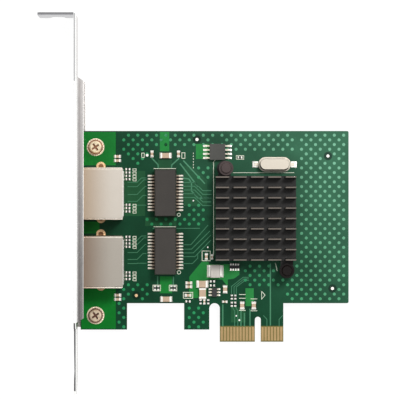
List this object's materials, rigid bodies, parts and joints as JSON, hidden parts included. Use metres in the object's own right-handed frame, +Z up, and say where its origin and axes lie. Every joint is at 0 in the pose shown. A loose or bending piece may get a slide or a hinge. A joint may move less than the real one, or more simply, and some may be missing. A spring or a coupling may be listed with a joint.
{
  "type": "network interface card",
  "caption": "Network interface card with a folded mounting bracket, shielded cable jacks, magnetics modules, a finned heat sink and a short gold contact edge.",
  "frame": {"origin": "centre line of the key notch, at the lower edge of the contact tongue, halfway through the board's thickness", "axes": "+X along the contact edge, away from the bracket; +Y from the contact edge to the top edge of the board; +Z up from the component side"},
  "size_m": [0.0988, 0.1209, 0.0184],
  "materials": {
    "plated_steel": "satin bright zinc-plated sheet",
    "tinned_shield": "satin tin-plated sheet",
    "screw_brass": "yellow-passivated, satin",
    "board_green": "solder-masked laminate",
    "contact_gold": "hard gold, satin",
    "tin_solder": "bright tin",
    "socket_black": "moulded, matt",
    "light_clear": "clear moulding",
    "chip_black": "moulded, fine grain",
    "substrate_green": "laminate",
    "lid_metal": "plated, satin",
    "pad_grey": "soft pad",
    "anodised_black": "black anodised extrusion",
    "pin_black": "moulded nylon",
    "spring_steel": "drawn wire",
    "can_metal": "bright plated can",
    "ferrite_grey": "sintered ferrite",
    "resistor_black": "glazed chip",
    "capacitor_tan": "sintered chip"
  },
  "bodies": {
    "root": {"bracket": "plated_steel", "bracket_screws": "screw_brass", "circuit_board": "board_green", "edge_contacts": "contact_gold", "ring_pads": "tin_solder", "jack_solder_joints": "tin_solder", "controller_substrate": "substrate_green", "controller_lid": "lid_metal", "thermal_pad": "pad_grey", "heat_sink": "anodised_black", "push_pin_1": "pin_black", "push_pin_2": "pin_black", "push_pin_spring_1": "spring_steel", "push_pin_spring_2": "spring_steel", "crystal_can": "can_metal", "crystal_base": "chip_black", "crystal_leads": "tin_solder", "memory_chip_body": "chip_black", "memory_chip_leads": "tin_solder", "regulator_body": "chip_black", "regulator_leads": "tin_solder", "inductor_core": "ferrite_grey", "inductor_terminals": "tin_solder", "resistor_array_body": "resistor_black", "resistor_array_ends": "tin_solder", "resistor_bodies": "resistor_black", "resistor_ends": "tin_solder", "capacitor_bodies": "capacitor_tan", "capacitor_ends": "tin_solder", "jack_1_shield": "tinned_shield", "jack_1_housing": "socket_black", "jack_1_contacts": "contact_gold", "jack_1_lights": "light_clear", "magnetics_1_body": "chip_black", "magnetics_1_leads": "tin_solder", "jack_2_shield": "tinned_shield", "jack_2_housing": "socket_black", "jack_2_contacts": "contact_gold", "jack_2_lights": "light_clear", "magnetics_2_body": "chip_black", "magnetics_2_leads": "tin_solder"}
  },
  "joints": []
}
